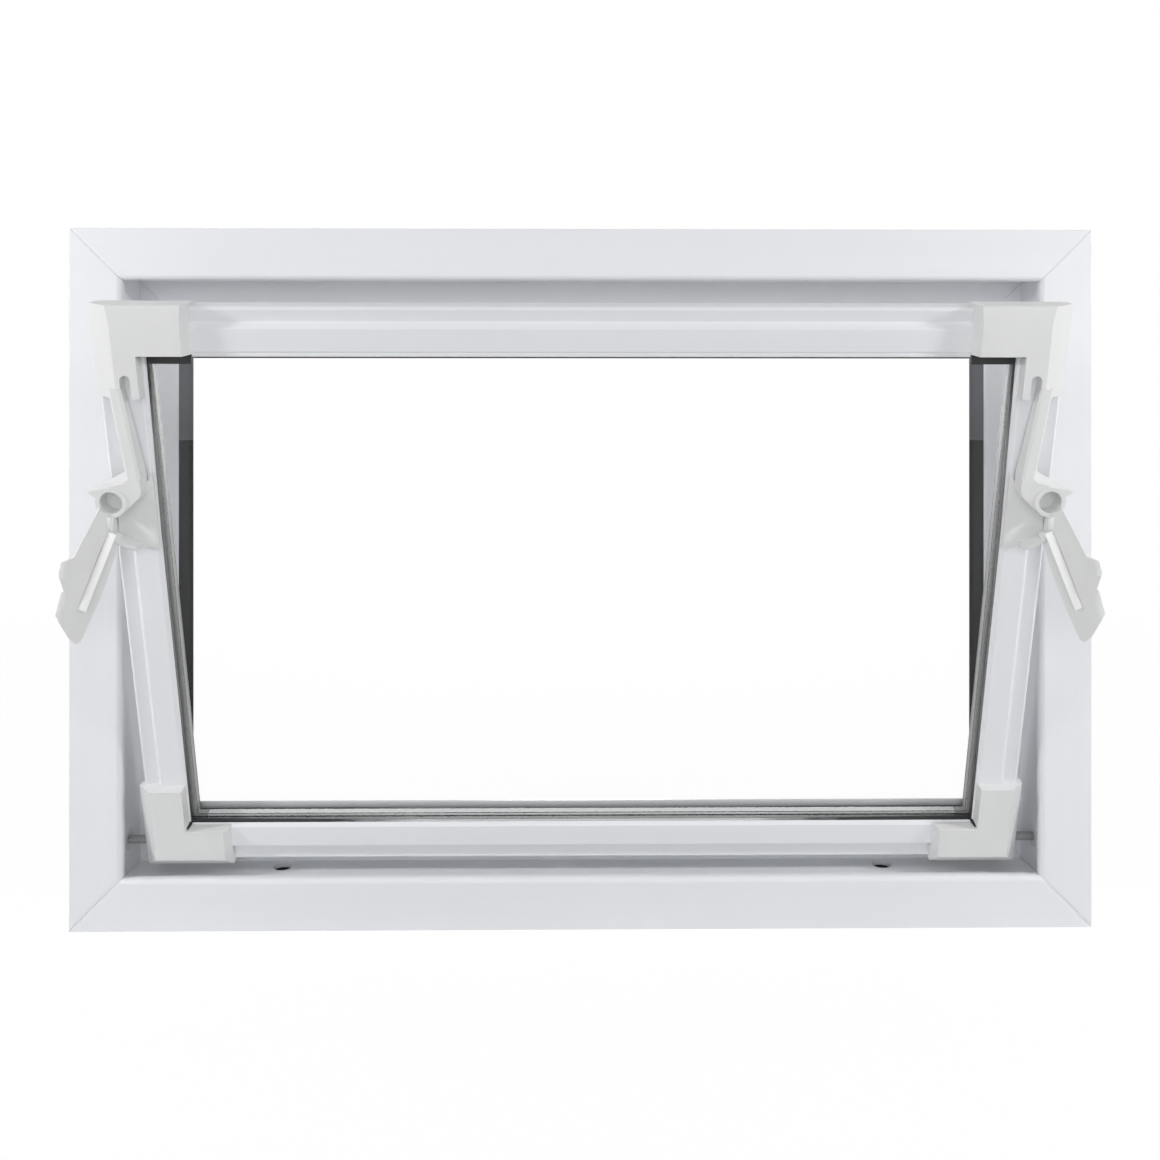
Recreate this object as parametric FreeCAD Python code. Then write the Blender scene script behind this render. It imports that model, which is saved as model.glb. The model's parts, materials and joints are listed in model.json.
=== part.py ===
import FreeCAD, Part
import math
import os

# Hopper window: a small plastic utility window whose sash is hung at its foot and tilts into the room.
# Millimetres. X runs along the sill, Y from the room outwards, Z up.
# The origin is on the sill's underside, at mid-length and mid-depth.
# A section is drawn in u, inwards from the outer edge, and v, back from the room side.

# Frame
frame_width = 600.0
frame_height = 411.0
frame_depth = 60.0
face_width = 30.0            # outer edge to the inner edge of the face
face_edge_radius = 3.0
lip_depth = 6.0              # the rounded lip round the face
lip_step = 4.0               # how far the rebate lies behind the lip's edge
lip_slope = 1.5
rebate_depth = 40.0          # face to the rear leg
leg_reach = 25.4             # rear leg's reach from the rebate wall
leg_draft = 2.0
leg_round = 1.0

# Holes in the sill
sill_hole_radius = 5.5
sill_hole_spacing = 367.0
sill_wall = 2.5              # plastic above and below the hollow chamber
sill_chamber_radius = 9.0

# Sash
side_gap = 11.7              # sash to the lip's edge, at each side
foot_gap = 10.5              # sash to the rebate floor
head_gap = 10.3              # sash to the lip's edge at the head
sash_recess = 13.0           # sash front behind the frame's face when shut
sash_depth = 20.0
sash_profile = 25.5          # width of a sash rail
flange_bevel = 1.5
flange_front = 3.0           # flange behind the rail's raised front
flange_dip = 2.0
valley_width = 8.2           # outer edge to the foot of the step
step_width = 3.1
front_fall = 0.8             # the raised front leans towards the glass
rail_inner_chamfer = 2.0
rail_chamfer_fall = 1.6
rail_back_chamfer = 1.5
axis_rise = 9.3              # hinge axis above the sash's lower edge
open_angle = 15.1            # the tilt at which the sash rests

# Glazing
bead_front = 3.2             # plastic in front of the glazing
pane_thickness = 3.0
pane_cover = 6.5             # pane hidden inside the rails and the gasket
pane_edge_play = 2.0
gasket_thickness = 1.5
gasket_lip = 0.5             # gasket seen beyond the rail
spacer_depth = 5.6
spacer_width = 7.3
butyl_line = 0.2             # sealant between the spacer and each pane
spacer_edge = 1.0            # spacer in from the pane's edge

# Moulded corners
corner_front = 6.5           # proud of the rails' front
corner_cap = 1.8             # over the top rail
corner_shoe = 0.9            # under the bottom rail
corner_inset = 0.6           # inner edge of the corner outside the rail's
corner_end_slope = (2.4, 6.0)  # how far the end on the rail slopes off, across and back
upper_corner_reach = 51.6    # along the rail from the sash's outer edge
upper_corner_leg = 47.9      # along the stile
upper_corner_depth = 12.0
upper_side_wall = 1.0        # corner's outer side beyond the stile
upper_side_slope = (13.8, 11.0)  # how far the front slopes off, across and back
lower_corner_reach = 49.4
lower_corner_leg = 51.3
lower_side_wall = 2.2
lower_side_slope = (8.5, 8.5)
cap_slope_width = 9.0
cap_slope_fall = 1.5
shoe_slope = 7.0

# Hinge
peg_radius = 2.5
peg_clearance = 0.05
bush_radius = 6.0
bush_depth = 12.0
bush_floor = 1.5
bush_seat_play = 0.05
peg_end_play = 2.0

# Latches: set out from the eye, a in towards the glass, b up, q out from the sash's front
eye_inset = 5.9              # eye in from the sash's outer edge
eye_drop = 103.4             # eye below the sash's top
eye_radius = 8.3
eye_hole_radius = 6.1
eye_front = 12.0
eye_floor = 3.3              # the eye is a blind socket
arm_seat_drop = 42.4         # arm's root below the sash's top
arm_root_inset = 11.6
arm_width = 7.2
arm_root_front = 6.0
arm_foot = (12.8, 12.5)
arm_front = 11.3
arm_lift = 0.5               # the springy arm stands clear of the rail
arm_chamfer = 1.3
arm_slot_width = 5.6
arm_slot_reach = 4.4         # slot runs on above the arm's root
elbow_bend = ((16.5, 8.0), (15.6, 3.6), (12.6, 0.2))
elbow_foot = (5.5, -6.3)
nose_clearance = 5.2         # nose inside the lip's edge
nose_front = ((9.5, 11.0), (-6.5, 1.5), (4.0, 0.0))
nose_rear = ((8.5, 16.5), (-10.5, 6.0), (-6.0, 1.0), (4.0, 0.0))
nose_tip_rise = 5.7
nose_floor = 2.0
web_thickness = 2.0
web_top_rise = 13.5
web_shoulder = (13.0, 3.0)
rim_start = (-1.8, -19.6)
rim_middle = (6.0, -24.0)
rim_end_drop = 27.4
rim_height = 12.0            # at the grip, falling away to the web
rim_foot = 9.5
rim_thickness = 2.6
grip_top = (-0.5, -6.7, 11.4)
grip_foot = (-22.0, -77.7, 24.4)
grip_incline = 28.0
grip_thickness = 2.6
grip_outline = (
    (1.8, -5.0), (6.0, -5.0), (12.6, 26.5), (17.7, 30.7), (17.7, 37.5), (15.8, 40.9), (13.2, 45.6),
    (13.9, 47.0), (13.9, 60.2), (5.3, 70.8), (0.8, 74.1), (-1.4, 72.9), (-2.2, 69.3), (-5.3, 48.6),
    (-6.8, 34.0), (-8.0, 10.0))
grip_slot = (
    (-4.7, 10.0), (-3.6, 20.0), (0.4, 52.5), (1.9, 54.6), (4.0, 53.0), (0.7, 20.7), (-0.9, 8.9), (1.7, 2.6))
grip_flanks = ((13.6, 27.0, 38.5), (9.7, 46.4, 62.0))  # inner line, start and end of each
grip_flank_slope = 0.49
grip_flank_reach = 6.0


def vector(x, y, z):
    return FreeCAD.Vector(x, y, z)


# Values that follow from the driving dimensions
front_y = -frame_depth / 2
rebate_width = face_width - lip_step
lip_half_width = frame_width / 2 - face_width
wall_half_width = frame_width / 2 - rebate_width
sash_half_width = lip_half_width - side_gap
sash_width = 2 * sash_half_width
sash_foot_z = rebate_width + foot_gap
sash_height = frame_height - face_width - head_gap - sash_foot_z
sash_half_depth = sash_depth / 2
axis_y = front_y + sash_recess + sash_half_depth
axis_z = sash_foot_z + axis_rise
foot_h = -axis_rise
head_h = sash_height - axis_rise
pane_edge_u = sash_profile + gasket_lip - pane_cover
pocket_floor_u = pane_edge_u - pane_edge_play
inner_pane_v = bead_front + gasket_thickness
spacer_v = inner_pane_v + pane_thickness + butyl_line
outer_pane_v = spacer_v + spacer_depth + butyl_line
outer_gasket_v = outer_pane_v + pane_thickness
bead_rear_v = outer_gasket_v + gasket_thickness
rail_back_v = sash_depth - rail_back_chamfer
slot_depth = flange_front + flange_dip
stile_inner_x = sash_half_width - sash_profile
corner_inner_x = stile_inner_x + corner_inset
upper_outer_x = sash_half_width + upper_side_wall
lower_outer_x = sash_half_width + lower_side_wall
arm_seat_h = head_h - arm_seat_drop
arm_root_x = sash_half_width - arm_root_inset
eye_x = sash_half_width - eye_inset
eye_h = head_h - eye_drop


def face_of(points):
    """A flat face with straight edges through the points."""
    return Part.Face(Part.makePolygon(points + [points[0]]))


def section_face(outline):
    """A section drawn in u and v, standing across X."""
    return face_of([vector(0, v, u) for u, v in outline])


def box_between(low, high):
    size = [b - a for a, b in zip(low, high)]
    return Part.makeBox(*size, vector(*low))


def mitred_bar(section, length, outside, inside):
    """A bar along X with its ends cut at 45 degrees, its outer edge on Z = 0."""
    half = length / 2
    bar = section.extrude(vector(length + 4 * outside, 0, 0))
    bar.translate(vector(-half - 2 * outside, 0, 0))
    deep = section.BoundBox
    trapezium = face_of([
        vector(-half - outside, deep.YMin - 1, -outside),
        vector(half + outside, deep.YMin - 1, -outside),
        vector(half - inside, deep.YMin - 1, inside),
        vector(-half + inside, deep.YMin - 1, inside),
    ])
    return bar.common(trapezium.extrude(vector(0, deep.YLength + 2, 0)))


def ring_of_bars(section, width, height, outside, inside):
    """Four mitred bars round a rectangle that stands on Z = 0."""
    turns = {
        "foot": (width, 0, (0, 0, 0)),
        "left": (height, 90, (-width / 2, 0, height / 2)),
        "head": (width, 180, (0, 0, height)),
        "right": (height, -90, (width / 2, 0, height / 2)),
    }
    bars = {}
    for side, (length, turn, place) in turns.items():
        bar = mitred_bar(section, length, outside, inside)
        bar.rotate(vector(0, 0, 0), vector(0, 1, 0), turn)
        bar.translate(vector(*place))
        bars[side] = bar
    return bars


def frame_section():
    leg_u = rebate_width + leg_reach
    radius = face_edge_radius
    bend = radius * (1 - math.sqrt(0.5))
    corner = [
        vector(0, 0, face_width - radius),
        vector(0, bend, face_width - bend),
        vector(0, radius, face_width),
    ]
    straight = [
        (face_width, radius),
        (face_width, lip_depth),
        (rebate_width, lip_depth + lip_slope),
        (rebate_width, rebate_depth),
        (leg_u - leg_draft - leg_round, rebate_depth),
        (leg_u - leg_draft, rebate_depth + leg_round),
        (leg_u, frame_depth - leg_round),
        (leg_u - leg_round, frame_depth),
        (0, frame_depth),
        (0, 0),
        (face_width - radius, 0),
    ]
    edges = [Part.Arc(*corner).toShape()]
    for (u, v), (next_u, next_v) in zip(straight, straight[1:]):
        edges.append(Part.makeLine(vector(0, v, u), vector(0, next_v, next_u)))
    return Part.Face(Part.Wire(edges))


def make_frame():
    bars = ring_of_bars(frame_section(), frame_width, frame_height, 1, rebate_width + leg_reach + 1)
    for bar in bars.values():
        bar.translate(vector(0, front_y, 0))
    for side in (-1, 1):
        hole_x = side * sill_hole_spacing / 2
        hole = Part.makeCylinder(sill_hole_radius, face_width + 2, vector(hole_x, 0, -1))
        chamber = Part.makeCylinder(
            sill_chamber_radius, rebate_width - 2 * sill_wall, vector(hole_x, 0, sill_wall))
        bars["foot"] = bars["foot"].cut([hole, chamber])
    for side, name in ((-1, "left"), (1, "right")):
        seat = Part.makeCylinder(
            bush_radius + bush_seat_play, bush_depth,
            vector(side * wall_half_width, axis_y, axis_z), vector(side, 0, 0))
        bars[name] = bars[name].cut(seat)
    return bars


def make_bush(side):
    """A bush let flush into the jamb, which carries the sash's hinge peg."""
    out = vector(side, 0, 0)
    mouth = vector(side * wall_half_width, axis_y, axis_z)
    body = Part.makeCylinder(bush_radius, bush_depth, mouth, out)
    bore = Part.makeCylinder(peg_radius + peg_clearance, bush_depth - bush_floor, mouth, out)
    return body.cut(bore)


rail_face = [
    (0, rail_back_v),
    (0, flange_front + flange_bevel),
    (flange_bevel, flange_front),
    (valley_width, flange_front + flange_dip),
    (valley_width + step_width, 0),
    (sash_profile - rail_inner_chamfer, front_fall),
    (sash_profile, front_fall + rail_chamfer_fall),
]


def rail_section():
    """The sash rail: outer flange, step, raised front and the glazing pocket."""
    return section_face(rail_face + [
        (sash_profile, bead_front),
        (pocket_floor_u, bead_front),
        (pocket_floor_u, bead_rear_v),
        (sash_profile, bead_rear_v),
        (sash_profile, sash_depth),
        (rail_back_chamfer, sash_depth),
    ])


def rail_core_section():
    """The rail with its glazing pocket filled, to cut what is pushed over it."""
    return section_face(rail_face + [(sash_profile, sash_depth), (rail_back_chamfer, sash_depth)])


def place_sash(bars):
    """From the sash's own outline to its hinge axis."""
    for bar in bars.values():
        bar.translate(vector(0, -sash_half_depth, foot_h))
    return bars


def make_rails():
    return place_sash(ring_of_bars(rail_section(), sash_width, sash_height, 1, sash_profile + 1))


def sash_prism(outline, low_q, high_q):
    """A block drawn in x and h, between two distances out from the sash's front."""
    face = face_of([vector(x, -sash_half_depth - low_q, h) for x, h in outline])
    return face.extrude(vector(0, low_q - high_q, 0))


def slope_along_h(outline, low_h, high_h):
    """A block drawn in x and q, along the stile."""
    face = face_of([vector(x, -sash_half_depth - q, low_h) for x, q in outline])
    return face.extrude(vector(0, 0, high_h - low_h))


def slope_along_x(outline, low_x, high_x):
    """A block drawn in h and q, along the rail."""
    face = face_of([vector(low_x, -sash_half_depth - q, h) for h, q in outline])
    return face.extrude(vector(high_x - low_x, 0, 0))


def corner_block(edge_h, inner_h, leg_h, end_x, outer_x, depth, side_slope):
    """The L-shaped outside of a right-hand corner, sloped off at its outer side and its end."""
    across, back = side_slope
    end_across, end_back = corner_end_slope
    block = sash_prism([
        (end_x, edge_h), (outer_x, edge_h), (outer_x, leg_h),
        (corner_inner_x, leg_h), (corner_inner_x, inner_h), (end_x, inner_h)], -depth, corner_front)
    slope = slope_along_h([
        (outer_x - across, corner_front), (outer_x, corner_front - back),
        (outer_x, corner_front)], min(edge_h, leg_h), max(edge_h, leg_h))
    end_slope = slope_along_h([
        (end_x + end_across, corner_front), (end_x, corner_front - end_back),
        (end_x, corner_front)], min(edge_h, inner_h), max(edge_h, inner_h))
    return block.cut([slope, end_slope])


def make_upper_corner(core):
    edge_h = head_h + corner_cap
    inner_h = head_h - sash_profile + corner_inset
    leg_h = head_h - upper_corner_leg
    end_x = sash_half_width - upper_corner_reach
    block = corner_block(
        edge_h, inner_h, leg_h, end_x, upper_outer_x, upper_corner_depth, upper_side_slope)
    cap_slope = slope_along_x([
        (edge_h - cap_slope_width, corner_front), (edge_h, corner_front - cap_slope_fall),
        (edge_h, corner_front)], end_x, upper_outer_x)
    return block.cut([cap_slope, arm_slot(leg_h)] + core)


def arm_slot(leg_h):
    """The seat of the latch arm and the slot beside it, which lets the arm spring."""
    half = arm_width / 2
    slot_x = arm_root_x - half - arm_slot_width / 2
    slot_h = arm_seat_h + arm_slot_reach
    seat = sash_prism([
        (slot_x, leg_h), (arm_root_x + half, leg_h),
        (arm_root_x + half, arm_seat_h), (slot_x, arm_seat_h)], -slot_depth, corner_front)
    slot = sash_prism([
        (slot_x - arm_slot_width / 2, leg_h), (slot_x + arm_slot_width / 2, leg_h),
        (slot_x + arm_slot_width / 2, slot_h), (slot_x - arm_slot_width / 2, slot_h)],
        -slot_depth, corner_front)
    return seat.fuse([slot, sash_post(slot_x, slot_h, arm_slot_width / 2, -slot_depth, corner_front)])


def make_lower_corner(core):
    edge_h = foot_h - corner_shoe
    inner_h = foot_h + sash_profile - corner_inset
    leg_h = foot_h + lower_corner_leg
    end_x = sash_half_width - lower_corner_reach
    block = corner_block(edge_h, inner_h, leg_h, end_x, lower_outer_x, rail_back_v, lower_side_slope)
    shoe = slope_along_x([
        (edge_h + shoe_slope, corner_front), (edge_h, corner_front - shoe_slope),
        (edge_h, corner_front)], end_x, lower_outer_x)
    return block.cut([shoe] + core).fuse(make_peg())


def make_corners():
    core = place_sash(ring_of_bars(rail_core_section(), sash_width, sash_height, 1, sash_profile + 1))
    right = {
        "head": make_upper_corner([core["head"], core["right"]]),
        "foot": make_lower_corner([core["foot"], core["right"]]),
    }
    return {
        (level, upright): mirrored(corner.removeSplitter(), upright == "left")
        for level, corner in right.items()
        for upright in ("left", "right")
    }


def mirrored(shape, turned):
    return shape.mirror(vector(0, 0, 0), vector(1, 0, 0)) if turned else shape


def make_peg():
    """The hinge peg on the lower corner's outer side."""
    tip_x = wall_half_width + bush_depth - bush_floor - peg_end_play
    return Part.makeCylinder(
        peg_radius, tip_x - lower_outer_x, vector(lower_outer_x, 0, 0), vector(1, 0, 0))


def sash_post(x, h, radius, low_q, high_q):
    """A round post that stands out from the sash."""
    root = vector(x, -sash_half_depth - low_q, h)
    return Part.makeCylinder(radius, high_q - low_q, root, vector(0, -1, 0))


def flat_ring(outer_u, inner_u, v, thickness):
    """A rectangular loop that follows the sash, from one depth to another."""
    loops = []
    for u in (outer_u, inner_u):
        low = (-sash_half_width + u, v - sash_half_depth, foot_h + u)
        high = (sash_half_width - u, v + thickness - sash_half_depth, head_h - u)
        loops.append(box_between(low, high))
    return loops[0].cut(loops[1])


def make_pane(v):
    low = (-sash_half_width + pane_edge_u, v - sash_half_depth, foot_h + pane_edge_u)
    high = (sash_half_width - pane_edge_u, v + pane_thickness - sash_half_depth, head_h - pane_edge_u)
    return box_between(low, high)


def latch_point(a, b, q):
    """A point of the right-hand latch, from its place beside the eye."""
    return vector(eye_x - a, -sash_half_depth - q, eye_h + b)


def arm_loop(x, h, front):
    """The arm's section, with its two front edges chamfered."""
    half = arm_width / 2
    outline = [
        (x - half, arm_lift), (x - half, front - arm_chamfer), (x - half + arm_chamfer, front),
        (x + half - arm_chamfer, front), (x + half, front - arm_chamfer), (x + half, arm_lift)]
    points = [vector(px, -sash_half_depth - q, h) for px, q in outline]
    return Part.makePolygon(points + [points[0]])


def make_arm():
    foot = latch_point(*arm_foot, 0)
    return Part.makeLoft([
        arm_loop(arm_root_x, arm_seat_h, arm_root_front),
        arm_loop(foot.x, foot.z, arm_front)], True, True)


def make_elbow():
    """The bend that carries the arm round into the eye."""
    half = arm_width / 2
    bend = Part.Arc(*[latch_point(a, b, arm_lift) for a, b in elbow_bend]).toShape()
    inner_foot = latch_point(arm_foot[0] + half, arm_foot[1], arm_lift)
    outer_foot = latch_point(arm_foot[0] - half, arm_foot[1], arm_lift)
    low = latch_point(*elbow_foot, arm_lift)
    lines = Part.makePolygon([
        bend.Vertexes[-1].Point, low, latch_point(0, 0, arm_lift), outer_foot, inner_foot,
        bend.Vertexes[0].Point])
    return Part.Face(Part.Wire([bend] + lines.Edges)).extrude(vector(0, arm_lift - arm_front, 0))


def make_nose():
    """The wedge that snaps behind the frame's lip."""
    tip_a = eye_x - (lip_half_width - nose_clearance)
    front = [nose_front[0], (tip_a, nose_tip_rise), *nose_front[1:]]
    loops = []
    for outline, q in ((front, arm_front), (nose_rear, nose_floor)):
        points = [latch_point(a, b, q) for a, b in outline]
        loops.append(Part.makePolygon(points + [points[0]]))
    return Part.makeLoft(loops, True, True)


def rim_arc(drop):
    end = (eye_x - stile_inner_x, -rim_end_drop)
    return Part.Arc(*[latch_point(a, b - drop, 0) for a, b in (rim_start, rim_middle, end)]).toShape()


def make_web():
    """The thin plate behind the eye and the rim along its foot."""
    upper = rim_arc(0)
    lower = rim_arc(rim_thickness)
    start, end = upper.Vertexes[0].Point, upper.Vertexes[-1].Point
    plate_lines = Part.makePolygon([
        end, latch_point(eye_x - stile_inner_x, web_top_rise, 0), latch_point(*web_shoulder, 0),
        latch_point(0, 0, 0), start])
    plate = Part.Face(Part.Wire([upper] + plate_lines.Edges)).extrude(vector(0, -web_thickness, 0))
    ends = [
        Part.makeLine(end, lower.Vertexes[-1].Point),
        Part.makeLine(lower.Vertexes[0].Point, start)]
    rim = Part.Face(Part.Wire([upper, ends[0], lower, ends[1]])).extrude(vector(0, -rim_height, 0))
    low_x = eye_x - rim_foot
    fall = slope_along_h([
        (start.x, rim_height), (low_x, web_thickness), (end.x - 1, web_thickness), (end.x - 1, rim_height)],
        lower.BoundBox.ZMin - 1, upper.BoundBox.ZMax + 1)
    return plate.fuse(rim.cut(fall))


def make_grip():
    """The slotted finger plate, turned so that its outer edge stands further into the room."""
    top = latch_point(*grip_top)
    along = (latch_point(*grip_foot) - top).normalize()
    tilt = vector(1, -math.tan(math.radians(grip_incline)), 0)
    across = (tilt - along * tilt.dot(along)).normalize()
    normal = across.cross(along)

    def on_plate(w, l):
        return top + across * w + along * l

    plate = face_of([on_plate(w, l) for w, l in grip_outline + grip_slot]).extrude(normal * grip_thickness)
    for inner_w, start_l, end_l in grip_flanks:
        outer = on_plate(inner_w + grip_flank_reach, start_l)
        inner = on_plate(inner_w, start_l)
        flank = face_of([
            inner, outer + normal * (grip_flank_reach * grip_flank_slope),
            outer - normal, inner - normal]).extrude(along * (end_l - start_l))
        plate = plate.cut(flank)
    return plate


def make_latch():
    """Right-hand latch: spring arm, eye, nose, web and grip, moulded as one."""
    eye = sash_post(eye_x, eye_h, eye_radius, arm_lift, eye_front)
    latch = make_arm().fuse([eye, make_nose(), make_web(), make_elbow(), make_grip()])
    return latch.cut(sash_post(eye_x, eye_h, eye_hole_radius, eye_floor, 3 * eye_front))


def make_sash():
    rails = make_rails()
    corners = make_corners()
    latch = make_latch()
    return {
        "sash_top_rail": rails["head"],
        "sash_bottom_rail": rails["foot"],
        "sash_stile_left": rails["left"],
        "sash_stile_right": rails["right"],
        "corner_top_left": corners["head", "left"],
        "corner_top_right": corners["head", "right"],
        "corner_bottom_left": corners["foot", "left"],
        "corner_bottom_right": corners["foot", "right"],
        "inner_pane": make_pane(inner_pane_v),
        "outer_pane": make_pane(outer_pane_v),
        "spacer_frame": flat_ring(
            pane_edge_u + spacer_edge, pane_edge_u + spacer_edge + spacer_width, spacer_v, spacer_depth),
        "inner_gasket": flat_ring(pane_edge_u, sash_profile + gasket_lip, bead_front, gasket_thickness),
        "outer_gasket": flat_ring(pane_edge_u, sash_profile + gasket_lip, outer_gasket_v, gasket_thickness),
        "latch_left": mirrored(latch, True),
        "latch_right": latch,
    }


def main():
    os.makedirs("parts", exist_ok=True)
    bars = make_frame()
    pieces = {
        "frame_sill": bars["foot"],
        "frame_head": bars["head"],
        "frame_jamb_left": bars["left"],
        "frame_jamb_right": bars["right"],
        "hinge_bush_left": make_bush(-1),
        "hinge_bush_right": make_bush(1),
    }
    for name, shape in make_sash().items():
        shape.rotate(vector(0, 0, 0), vector(1, 0, 0), open_angle)
        shape.translate(vector(0, axis_y, axis_z))
        pieces[name] = shape
    for name, shape in pieces.items():
        print(name, len(shape.Solids), "solid", shape.isValid(), round(shape.Volume / 1000, 2), "cm3")
        shape.exportStep("parts/" + name + ".step")


main()
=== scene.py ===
import json
import math

import bpy
from mathutils import Matrix, Vector


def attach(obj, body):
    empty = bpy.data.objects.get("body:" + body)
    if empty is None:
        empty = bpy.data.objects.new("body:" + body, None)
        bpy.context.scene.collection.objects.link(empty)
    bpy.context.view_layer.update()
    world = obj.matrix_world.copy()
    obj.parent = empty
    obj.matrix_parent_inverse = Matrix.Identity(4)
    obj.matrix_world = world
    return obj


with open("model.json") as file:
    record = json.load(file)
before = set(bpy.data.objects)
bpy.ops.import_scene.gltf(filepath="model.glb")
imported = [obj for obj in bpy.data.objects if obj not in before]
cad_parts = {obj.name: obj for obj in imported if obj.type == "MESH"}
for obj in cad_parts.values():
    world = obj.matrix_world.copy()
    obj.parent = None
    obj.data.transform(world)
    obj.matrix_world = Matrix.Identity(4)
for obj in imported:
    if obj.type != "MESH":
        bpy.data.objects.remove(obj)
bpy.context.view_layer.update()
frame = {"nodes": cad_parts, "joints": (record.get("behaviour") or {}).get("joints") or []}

# Looks of a white plastic hopper window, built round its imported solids.
# Metres. X runs along the sill, Y from the room outwards, Z up.

NODES = frame["nodes"]
TILT = frame["joints"][0]["range_deg"][1]

# Ways that a bar's draw lines run, and turns that bring a bar's place upright
ALONG_X = 0
ALONG_Z = 2
FRAME_TURN = (0, 0, 0)
SASH_TURN = (math.radians(-TILT), 0, 0)

# The photograph's view: a level camera in front of the window, turned a little to the right
PHOTO_WIDTH = 1160
FOCAL_PIXELS = 1126
AXIS_PIXEL = (594.8, 430.2)
SENSOR_WIDTH = 36.0
CAMERA_PLACE = (0.0, -0.6906, 0.2929)
CAMERA_TURN = -0.613
NEAR_CLIP = 0.01

# Lamps, each with its place, width, height and watts, and the point that they face
LAMPS = {
    "front_softbox": ((0, -2.2, 0.6), 1.4, 1.0, 9.3),
    "top_softbox": ((0, -0.9, 1.2), 1.2, 0.6, 1.5),
    "back_softbox": ((0, 1.5, 0.5), 0.4, 0.6, 8),
    "side_lamp_left": ((-0.80, -0.35, 0.50), 0.07, 0.07, 2.2),
    "side_lamp_right": ((0.80, -0.35, 0.50), 0.07, 0.07, 2.2),
}
LAMP_AIM = (0, 0, 0.2)

# Strength of the soft light from all round, on the room's side and behind the window
AMBIENT_ROOM = 0.39
AMBIENT_BACK = 0.10

# The floor: its size and level, its shades, its glow and the distances over which it fades
FLOOR_SIZE = 4
FLOOR_LEVEL = -0.0005
FLOOR_SHADES = (0.78, 0.80)
FLOOR_SEEN = (0.06, 0.06, 0.06)
FLOOR_GLOW = 0.955
FLOOR_FADE = (0.45, 1.6)

# Colours of the finishes, linear
WHITE = (1, 1, 1)
PROFILE_WHITE = (0.855, 0.868, 0.895)
MOULDED_WHITE = (0.80, 0.805, 0.805)
# Painted highlight: a whiter copy of the moulding for the latch's rib
RIB_PAINTED_LIGHT = (0.90, 0.905, 0.905)
# Painted shade in the hollow under the sill's holes
SHADED_GREY = (0.08, 0.081, 0.084)
# Painted shade on the rear leg's inner side: dark below, grey above
REVEAL_SHADE_DARK = (0.010, 0.0105, 0.012)
REVEAL_SHADE_GREY = (0.150, 0.158, 0.170)
# Painted shade: the hinge pins' grey, the tone of the shaded gap they cross
PIN_SHADE_GREY = (0.30, 0.304, 0.31)
RUBBER_BLACK = (0.016, 0.0165, 0.018)
RUBBER_GREY = (0.21, 0.213, 0.218)
RUBBER_DUST = (0.62, 0.625, 0.63)
SPACER_GREY = (0.84, 0.85, 0.85)
BUTYL_GREY = (0.055, 0.056, 0.058)

# Shades of its colour that a finish wanders between
PROFILE_SHADES = (0.985, 1.01)
MOULDED_SHADES = (0.98, 1.012)
RUBBER_SHADES = (1.0, 1.6)
SPACER_BRIGHT = (0.88, 1.06)
# Painted shade on the spacer's uprights
SPACER_PAINTED_SHADE = (0.44, 0.54)

# Roughness of the finishes, from smooth to rough patches
PROFILE_ROUGHNESS = (0.31, 0.42)
MOULDED_ROUGHNESS = (0.33, 0.46)
RUBBER_ROUGHNESS = (0.5, 0.7)
SPACER_ROUGHNESS = (0.38, 0.55)
GLASS_ROUGHNESS = (0.01, 0.04)
REAR_SIDE_ROUGHER = 0.45

# Relief of the finishes, as strength and depth
PROFILE_RELIEF = (0.06, 0.0002)
MOULDED_RELIEF = (0.09, 0.0002)
RUBBER_RELIEF = (0.15, 0.0002)
SPACER_RELIEF = (0.08, 0.0001)
WELD_RELIEF = (1.0, 0.00035)

# Scale and detail of the patterns, and the range that most of a pattern lies in
DRAW_LINES = (900.0, 3.0)
BROAD_LINES = (160.0, 1.0)
CLOUDS = (11.0, 3.0)
PROFILE_GRAIN = (1800.0, 1.0)
MOULD_TEXTURE = (2600.0, 2.0)
MOULD_FLOW = (70.0, 2.0)
RUBBER_BLOOM = (60.0, 4.0)
RUBBER_PORES = (2200.0, 2.0)
SPACER_GRAIN = (1400.0, 2.0)
SPACER_SMEAR = (700.0, 3.0)
GLASS_WIPES = (14.0, 3.0)
FLOOR_MOTTLE = (40.0, 2.0)
PATTERN_RANGE = (0.3, 0.7)

# Turns and stretches of the patterns
DRAWN_STRETCH = 0.02
FLOW_TURN = (0, 0, 0.5)
FLOW_STRETCH = (1, 1, 0.3)
WIPE_TURN = (0, 0.6, 0)
WIPE_STRETCH = (1, 1, 0.25)

# Refraction and gloss of the plastic, the spacer's metal, and the glass's mirroring head-on and at a glance
PLASTIC_IOR = 1.5
SASH_GLOSS = 0.5
FRAME_GLOSS = 0.3
SPACER_METAL = 0.1
MIRROR_HEAD_ON = 0.0055
MIRROR_GLANCE = 0.6
MIRROR_POWER = 5

# Frame: the clear opening, the rear leg round it and the height where the shade painted on its inner side
# turns lighter, the hollow under the screw holes that is painted with shade, and the lower welds
OPENING_HALF_WIDTH = 0.2507
OPENING_HALF_HEIGHT = 0.1562
OPENING_MIDDLE = 0.2055
LEG_FRONT = 0.0105
LEG_BACK = 0.0292
REVEAL_SHADE_CHANGE = 0.2866
SCREW_HOLE = 0.1835
HOLLOW_HALF = 0.012
HOLLOW_FOOT = 0.001
HOLLOW_TOP = 0.0236
FRAME_HALF = 0.300
FACE_DEPTH = -0.0295
FACE_WIDTH = 0.029
WELD_HALF = 0.0019
MITRE_SLOPE = 0.7071

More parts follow.
